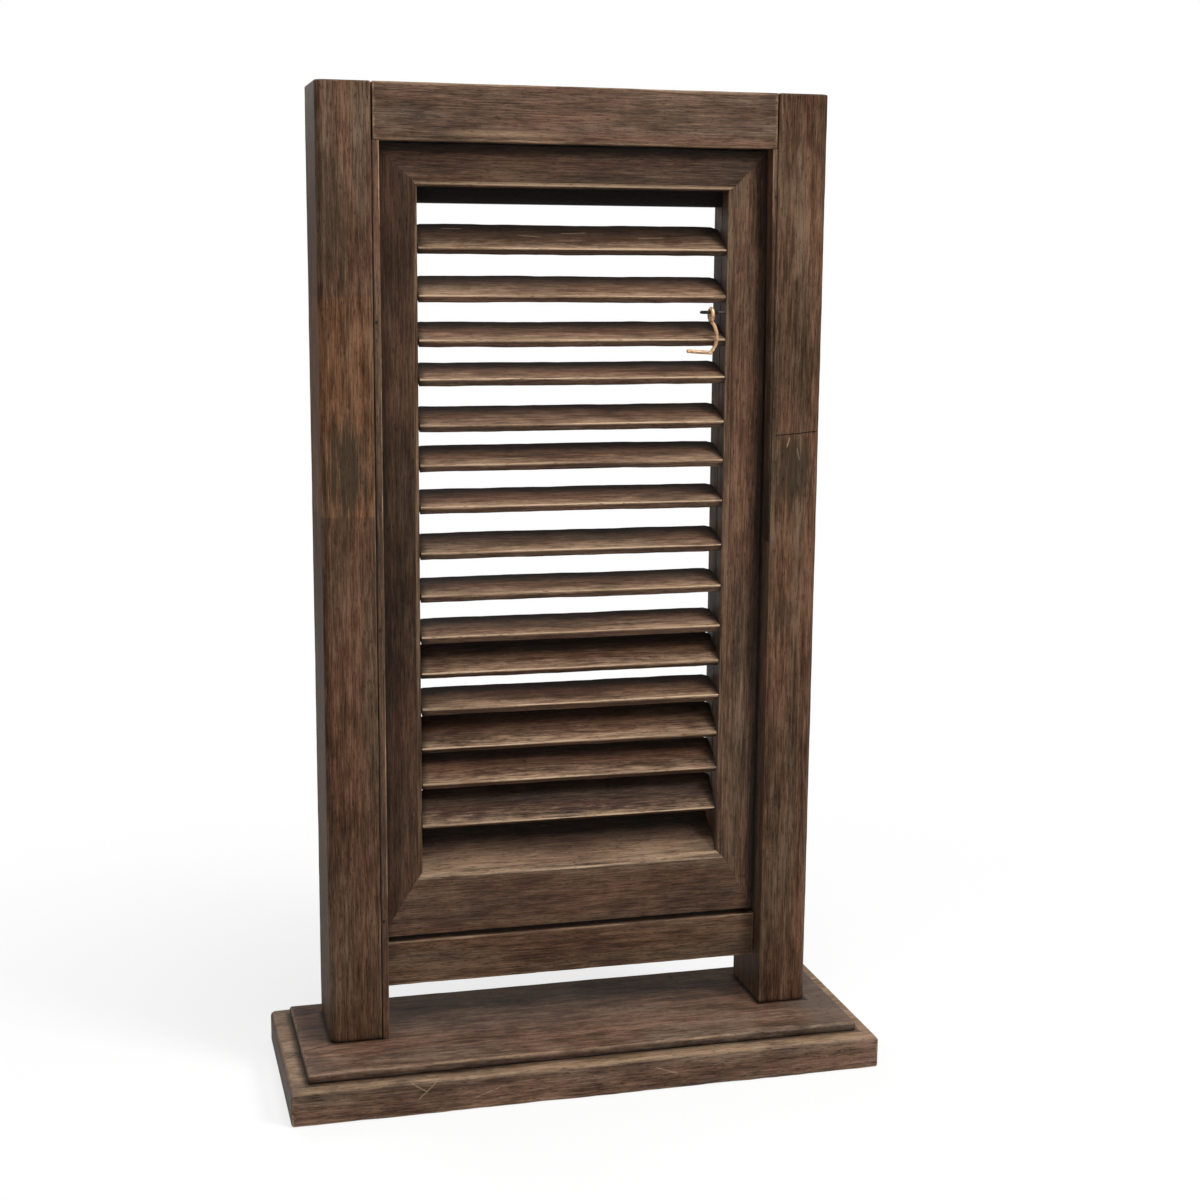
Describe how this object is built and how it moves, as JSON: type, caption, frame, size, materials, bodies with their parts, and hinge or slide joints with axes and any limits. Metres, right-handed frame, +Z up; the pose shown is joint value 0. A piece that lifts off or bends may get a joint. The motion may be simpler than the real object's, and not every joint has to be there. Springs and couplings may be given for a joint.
{
  "type": "louvred shutter",
  "caption": "Free-standing louvred shutter: a mitred leaf of pivoting slats hung in a post and rail frame on a stepped base, with a wire hook.",
  "frame": {"origin": "on the floor under the middle of the base", "axes": "+X to the viewer's right, +Y from the front to the back, +Z up"},
  "size_m": [0.592, 0.214, 0.9655],
  "materials": {
    "frame_wood": "worn dark walnut stain",
    "leaf_wood": "worn dark walnut stain",
    "slat_wood": "worn dark walnut stain",
    "dowel_wood": "bare hardwood",
    "iron": "blackened iron",
    "brass": "aged brass wire"
  },
  "bodies": {
    "frame": {"base_lower": "frame_wood", "base_upper": "frame_wood", "post_left": "frame_wood", "post_right": "frame_wood", "top_rail": "frame_wood", "bottom_rail": "frame_wood", "bead_left": "frame_wood", "bead_right": "frame_wood", "bead_nails": "iron", "base_screws": "iron", "hinge_upper_post": "iron", "hinge_lower_post": "iron", "hinge_upper_pin": "iron", "hinge_lower_pin": "iron", "hinge_screws_post": "iron"},
    "leaf": {"stile_hinge": "leaf_wood", "stile_lock": "leaf_wood", "sash_top": "leaf_wood", "sash_bottom": "leaf_wood", "corner_dowels": "dowel_wood", "hinge_upper_sash": "iron", "hinge_lower_sash": "iron", "hinge_screws_sash": "iron", "screw_eye": "iron"},
    "slat_01": {"slat_01": "slat_wood"},
    "slat_02": {"slat_02": "slat_wood"},
    "slat_03": {"slat_03": "slat_wood"},
    "slat_04": {"slat_04": "slat_wood"},
    "slat_05": {"slat_05": "slat_wood"},
    "slat_06": {"slat_06": "slat_wood"},
    "slat_07": {"slat_07": "slat_wood"},
    "slat_08": {"slat_08": "slat_wood"},
    "slat_09": {"slat_09": "slat_wood"},
    "slat_10": {"slat_10": "slat_wood"},
    "slat_11": {"slat_11": "slat_wood"},
    "slat_12": {"slat_12": "slat_wood"},
    "slat_13": {"slat_13": "slat_wood"},
    "slat_14": {"slat_14": "slat_wood"},
    "slat_15": {"slat_15": "slat_wood"},
    "hook": {"hook": "brass"}
  },
  "joints": [
    {"name": "leaf_swing", "type": "hinge", "parent": "frame", "child": "leaf", "pos_m": [-0.1917, 0.0493, 0.5265], "axis": [0, 0, 1], "range_deg": [0, 90]},
    {"name": "slat_01_tilt", "type": "hinge", "parent": "leaf", "child": "slat_01", "pos_m": [0.00125, 0.0205, 0.825], "axis": [1, 0, 0], "range_deg": [-49, 24]},
    {"name": "slat_02_tilt", "type": "hinge", "parent": "leaf", "child": "slat_02", "pos_m": [0.00125, 0.0205, 0.778], "axis": [1, 0, 0], "range_deg": [-42, 31]},
    {"name": "slat_03_tilt", "type": "hinge", "parent": "leaf", "child": "slat_03", "pos_m": [0.00125, 0.0205, 0.735], "axis": [1, 0, 0], "range_deg": [-39, 34]},
    {"name": "slat_04_tilt", "type": "hinge", "parent": "leaf", "child": "slat_04", "pos_m": [0.00125, 0.0205, 0.697], "axis": [1, 0, 0], "range_deg": [-35, 38]},
    {"name": "slat_05_tilt", "type": "hinge", "parent": "leaf", "child": "slat_05", "pos_m": [0.00125, 0.0205, 0.654], "axis": [1, 0, 0], "range_deg": [-38, 35]},
    {"name": "slat_06_tilt", "type": "hinge", "parent": "leaf", "child": "slat_06", "pos_m": [0.00125, 0.0205, 0.616], "axis": [1, 0, 0], "range_deg": [-38, 35]},
    {"name": "slat_07_tilt", "type": "hinge", "parent": "leaf", "child": "slat_07", "pos_m": [0.00125, 0.0205, 0.574], "axis": [1, 0, 0], "range_deg": [-34, 39]},
    {"name": "slat_08_tilt", "type": "hinge", "parent": "leaf", "child": "slat_08", "pos_m": [0.00125, 0.0205, 0.53], "axis": [1, 0, 0], "range_deg": [-36, 37]},
    {"name": "slat_09_tilt", "type": "hinge", "parent": "leaf", "child": "slat_09", "pos_m": [0.00125, 0.0205, 0.487], "axis": [1, 0, 0], "range_deg": [-32, 41]},
    {"name": "slat_10_tilt", "type": "hinge", "parent": "leaf", "child": "slat_10", "pos_m": [0.00125, 0.0205, 0.446], "axis": [1, 0, 0], "range_deg": [-32, 41]},
    {"name": "slat_11_tilt", "type": "hinge", "parent": "leaf", "child": "slat_11", "pos_m": [0.00125, 0.0205, 0.416], "axis": [1, 0, 0], "range_deg": [-52, 21]},
    {"name": "slat_12_tilt", "type": "hinge", "parent": "leaf", "child": "slat_12", "pos_m": [0.00125, 0.0205, 0.375], "axis": [1, 0, 0], "range_deg": [-35, 38]},
    {"name": "slat_13_tilt", "type": "hinge", "parent": "leaf", "child": "slat_13", "pos_m": [0.00125, 0.0205, 0.342], "axis": [1, 0, 0], "range_deg": [-58, 15]},
    {"name": "slat_14_tilt", "type": "hinge", "parent": "leaf", "child": "slat_14", "pos_m": [0.00125, 0.0205, 0.3045], "axis": [1, 0, 0], "range_deg": [-54, 19]},
    {"name": "slat_15_tilt", "type": "hinge", "parent": "leaf", "child": "slat_15", "pos_m": [0.00125, 0.0205, 0.265], "axis": [1, 0, 0], "range_deg": [-69, 4]},
    {"name": "hook_swing", "type": "hinge", "parent": "leaf", "child": "hook", "pos_m": [0.137, -0.0035, 0.7565], "axis": [-1, 0, 0], "range_deg": [0, 150]}
  ]
}
